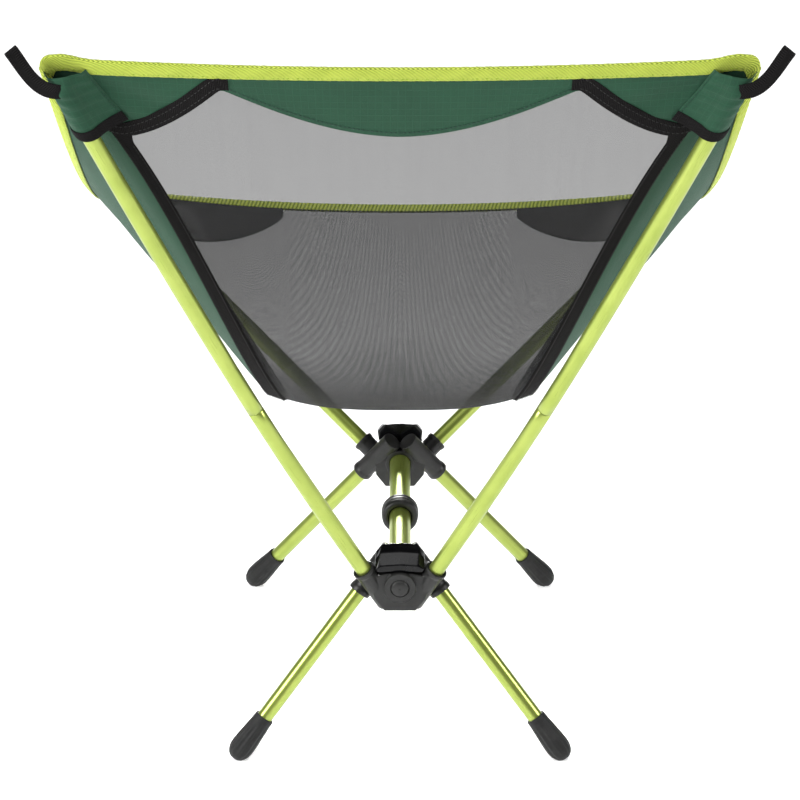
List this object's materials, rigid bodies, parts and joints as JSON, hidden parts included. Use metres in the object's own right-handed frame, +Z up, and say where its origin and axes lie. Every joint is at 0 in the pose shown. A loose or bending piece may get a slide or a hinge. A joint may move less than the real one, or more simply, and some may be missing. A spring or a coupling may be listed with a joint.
{
  "type": "ultralight camp chair",
  "caption": "Low folding camp chair: plug-in lime green tube frame on black plastic hubs, carrying a hung bucket sling of grey mesh and green fabric.",
  "frame": {"origin": "on the floor, under the middle of the whole chair's box", "axes": "+Z up, the front of the chair faces -Y, the sitter's left is +X"},
  "size_m": [0.5662, 0.5344, 0.658],
  "materials": {
    "lime_anodised_tube": "lime green anodised, satin",
    "black_nylon": "moulded, fine texture",
    "glossy_black_nylon": "polished moulding",
    "black_rubber": "ribbed rubber",
    "green_polyester": "plain-weave ripstop polyester",
    "grey_mesh": "open hexagonal knitted mesh",
    "black_webbing": "woven polyester webbing",
    "lime_binding": "ribbed grosgrain binding",
    "elastic_cord": "braided elastic cord"
  },
  "bodies": {
    "rear_frame": {"rear_hub": "black_nylon", "rear_hub_crown": "glossy_black_nylon", "rear_hub_pin": "black_nylon", "ridge_tube_rear": "lime_anodised_tube", "ridge_ferrule": "lime_anodised_tube", "ridge_collar": "black_nylon", "leg_cord_rear_left": "elastic_cord", "leg_cord_rear_right": "elastic_cord"},
    "front_frame": {"front_hub": "black_nylon", "front_hub_crown": "glossy_black_nylon", "front_hub_pin": "black_nylon", "ridge_tube_front": "lime_anodised_tube", "leg_cord_front_left": "elastic_cord", "leg_cord_front_right": "elastic_cord", "front_pole_cord_left": "elastic_cord", "front_pole_cord_right": "elastic_cord"},
    "leg_assembly_rear_left": {"leg_rear_left": "lime_anodised_tube", "foot_rear_left": "black_rubber"},
    "leg_assembly_rear_right": {"leg_rear_right": "lime_anodised_tube", "foot_rear_right": "black_rubber"},
    "leg_assembly_front_left": {"leg_front_left": "lime_anodised_tube", "foot_front_left": "black_rubber"},
    "leg_assembly_front_right": {"leg_front_right": "lime_anodised_tube", "foot_front_right": "black_rubber"},
    "back_pole_base_left": {"back_pole_lower_left": "lime_anodised_tube", "back_pole_ferrule_left": "lime_anodised_tube", "back_pole_cord_left": "elastic_cord"},
    "back_pole_tip_left": {"back_pole_upper_left": "lime_anodised_tube", "back_pole_plug_left": "black_nylon"},
    "front_pole_assembly_left": {"front_pole_left": "lime_anodised_tube", "front_pole_plug_left": "black_nylon"},
    "back_pole_base_right": {"back_pole_lower_right": "lime_anodised_tube", "back_pole_ferrule_right": "lime_anodised_tube", "back_pole_cord_right": "elastic_cord"},
    "back_pole_tip_right": {"back_pole_upper_right": "lime_anodised_tube", "back_pole_plug_right": "black_nylon"},
    "front_pole_assembly_right": {"front_pole_right": "lime_anodised_tube", "front_pole_plug_right": "black_nylon"},
    "sling": {"seat_mesh": "grey_mesh", "arch_panel": "green_polyester", "top_binding": "lime_binding", "front_binding": "lime_binding", "side_panel_left": "green_polyester", "back_corner_patch_left": "green_polyester", "front_corner_patch_left": "green_polyester", "seam_tape_left": "black_webbing", "corner_tape_left": "black_webbing", "side_binding_left": "lime_binding", "back_pocket_left": "green_polyester", "front_pocket_left": "black_webbing", "pull_loop_left": "black_webbing", "side_panel_right": "green_polyester", "back_corner_patch_right": "green_polyester", "front_corner_patch_right": "green_polyester", "seam_tape_right": "black_webbing", "corner_tape_right": "black_webbing", "side_binding_right": "lime_binding", "back_pocket_right": "green_polyester", "front_pocket_right": "black_webbing", "pull_loop_right": "black_webbing"}
  },
  "joints": [
    {"name": "leg_rear_left_pull", "type": "slide", "parent": "rear_frame", "child": "leg_assembly_rear_left", "axis": [0.5958, 0.2404, -0.7663], "range_m": [0, 0.045], "stiffness_N_per_m": 60, "springref_m": -0.05},
    {"name": "leg_rear_right_pull", "type": "slide", "parent": "rear_frame", "child": "leg_assembly_rear_right", "axis": [-0.5958, 0.2404, -0.7663], "range_m": [0, 0.045], "stiffness_N_per_m": 60, "springref_m": -0.05},
    {"name": "leg_front_left_pull", "type": "slide", "parent": "front_frame", "child": "leg_assembly_front_left", "axis": [0.5958, -0.2404, -0.7663], "range_m": [0, 0.045], "stiffness_N_per_m": 60, "springref_m": -0.05},
    {"name": "leg_front_right_pull", "type": "slide", "parent": "front_frame", "child": "leg_assembly_front_right", "axis": [-0.5958, -0.2404, -0.7663], "range_m": [0, 0.045], "stiffness_N_per_m": 60, "springref_m": -0.05},
    {"name": "sling_lift", "type": "slide", "parent": "rear_frame", "child": "sling", "axis": [0, 0, 1], "range_m": [0, 0.3], "deforming": ["back_pocket_left", "back_pocket_right", "front_pocket_left", "front_pocket_right"]},
    {"name": "ridge_pull_apart", "type": "slide", "parent": "rear_frame", "child": "front_frame", "axis": [0, -1, 0], "range_m": [0, 0.036]},
    {"name": "back_pole_left_pull", "type": "slide", "parent": "rear_frame", "child": "back_pole_base_left", "axis": [0.4658, 0.2458, 0.8501], "range_m": [0, 0.041]},
    {"name": "back_pole_left_split", "type": "slide", "parent": "back_pole_base_left", "child": "back_pole_tip_left", "axis": [0.4128, 0.253, 0.875], "range_m": [0, 0.036]},
    {"name": "front_pole_left_pull", "type": "slide", "parent": "front_frame", "child": "front_pole_assembly_left", "axis": [0.7066, -0.376, 0.5994], "range_m": [0, 0.041]},
    {"name": "back_pole_right_pull", "type": "slide", "parent": "rear_frame", "child": "back_pole_base_right", "axis": [-0.4658, 0.2458, 0.8501], "range_m": [0, 0.041]},
    {"name": "back_pole_right_split", "type": "slide", "parent": "back_pole_base_right", "child": "back_pole_tip_right", "axis": [-0.4128, 0.253, 0.875], "range_m": [0, 0.036]},
    {"name": "front_pole_right_pull", "type": "slide", "parent": "front_frame", "child": "front_pole_assembly_right", "axis": [-0.7066, -0.376, 0.5994], "range_m": [0, 0.041]}
  ],
  "couplings": [
    {"joint": "ridge_pull_apart", "follows": "sling_lift", "ratio": 0.11667},
    {"joint": "back_pole_left_pull", "follows": "sling_lift", "ratio": 0.13333},
    {"joint": "back_pole_left_split", "follows": "sling_lift", "ratio": 0.11667},
    {"joint": "front_pole_left_pull", "follows": "sling_lift", "ratio": 0.13333},
    {"joint": "back_pole_right_pull", "follows": "sling_lift", "ratio": 0.13333},
    {"joint": "back_pole_right_split", "follows": "sling_lift", "ratio": 0.11667},
    {"joint": "front_pole_right_pull", "follows": "sling_lift", "ratio": 0.13333}
  ]
}
